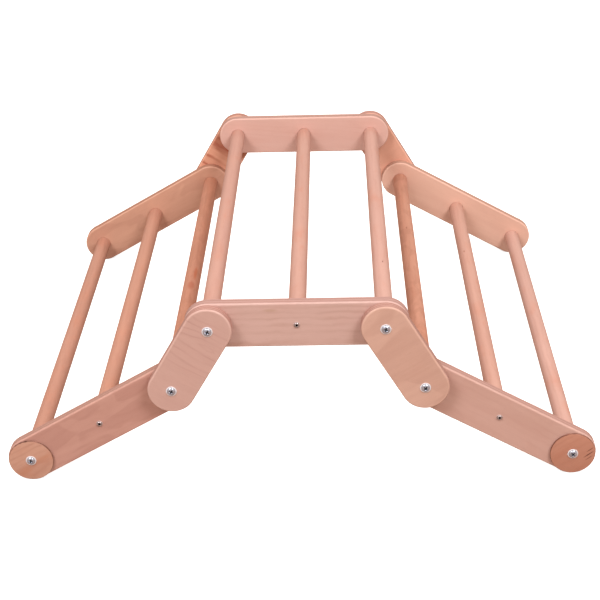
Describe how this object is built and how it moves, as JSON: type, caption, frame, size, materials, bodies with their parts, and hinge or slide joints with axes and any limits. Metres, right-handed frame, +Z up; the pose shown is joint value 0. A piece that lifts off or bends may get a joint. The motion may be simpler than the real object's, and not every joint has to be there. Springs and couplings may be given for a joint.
{
  "type": "folding climbing arch",
  "caption": "Low folding climbing arch for toddlers: ladder sections with round wooden rungs, joined by pivoting link plates so the frame stands as an arch, lies flat or folds up.",
  "frame": {"origin": "on the floor under the middle of the arch, at the bottom centre of its box", "axes": "+Z up, +X along the span from the left foot to the right foot, rungs along Y with the front rails at -Y"},
  "size_m": [1.006, 0.975, 0.3322],
  "materials": {
    "rail_ply": "clear-oiled birch plywood, sanded",
    "link_ply": "clear-oiled birch plywood, sanded, grain across the plate",
    "disc_wood": "clear-oiled beech, sanded",
    "rung_beech": "turned beech, oiled",
    "bolt_steel": "bright zinc plated",
    "insert_zinc": "zinc, dull"
  },
  "bodies": {
    "centre_section": {"centre_rail_front": "rail_ply", "centre_rail_back": "rail_ply", "centre_rung_left": "rung_beech", "centre_insert_left_front": "insert_zinc", "centre_insert_left_back": "insert_zinc", "centre_rung_middle": "rung_beech", "centre_insert_middle_front": "insert_zinc", "centre_insert_middle_back": "insert_zinc", "centre_rung_right": "rung_beech", "centre_insert_right_front": "insert_zinc", "centre_insert_right_back": "insert_zinc", "centre_rung_bolt_front": "bolt_steel", "centre_pivot_bolt_left_front": "bolt_steel", "centre_pivot_bolt_right_front": "bolt_steel", "centre_rung_bolt_back": "bolt_steel", "centre_pivot_bolt_left_back": "bolt_steel", "centre_pivot_bolt_right_back": "bolt_steel"},
    "left_links": {"left_link_front": "link_ply", "left_link_back": "link_ply"},
    "right_links": {"right_link_front": "link_ply", "right_link_back": "link_ply"},
    "left_section": {"left_rail_front": "rail_ply", "left_foot_disc_front": "disc_wood", "left_pivot_bolt_front": "bolt_steel", "left_rung_bolt_front": "bolt_steel", "left_foot_bolt_front": "bolt_steel", "left_rail_back": "rail_ply", "left_foot_disc_back": "disc_wood", "left_pivot_bolt_back": "bolt_steel", "left_rung_bolt_back": "bolt_steel", "left_foot_bolt_back": "bolt_steel", "left_rung_inner": "rung_beech", "left_insert_inner_front": "insert_zinc", "left_insert_inner_back": "insert_zinc", "left_rung_middle": "rung_beech", "left_insert_middle_front": "insert_zinc", "left_insert_middle_back": "insert_zinc", "left_rung_outer": "rung_beech", "left_insert_outer_front": "insert_zinc", "left_insert_outer_back": "insert_zinc"},
    "right_section": {"right_rail_front": "rail_ply", "right_foot_disc_front": "disc_wood", "right_pivot_bolt_front": "bolt_steel", "right_rung_bolt_front": "bolt_steel", "right_foot_bolt_front": "bolt_steel", "right_rail_back": "rail_ply", "right_foot_disc_back": "disc_wood", "right_pivot_bolt_back": "bolt_steel", "right_rung_bolt_back": "bolt_steel", "right_foot_bolt_back": "bolt_steel", "right_rung_inner": "rung_beech", "right_insert_inner_front": "insert_zinc", "right_insert_inner_back": "insert_zinc", "right_rung_middle": "rung_beech", "right_insert_middle_front": "insert_zinc", "right_insert_middle_back": "insert_zinc", "right_rung_outer": "rung_beech", "right_insert_outer_front": "insert_zinc", "right_insert_outer_back": "insert_zinc"}
  },
  "joints": [
    {"name": "left_link_pivot", "type": "hinge", "parent": "centre_section", "child": "left_links", "pos_m": [-0.145, 0, 0.29216], "axis": [0, -1, 0], "range_deg": [-59.2, 20.8]},
    {"name": "left_side_pivot", "type": "hinge", "parent": "left_links", "child": "left_section", "pos_m": [-0.21054, 0, 0.18221], "axis": [0, -1, 0], "range_deg": [-60.2, 129.8]},
    {"name": "right_link_pivot", "type": "hinge", "parent": "centre_section", "child": "right_links", "pos_m": [0.145, 0, 0.29216], "axis": [0, -1, 0], "range_deg": [0, 139.2]},
    {"name": "right_side_pivot", "type": "hinge", "parent": "right_links", "child": "right_section", "pos_m": [0.21054, 0, 0.18221], "axis": [0, -1, 0], "range_deg": [-29.8, 70.2]}
  ]
}
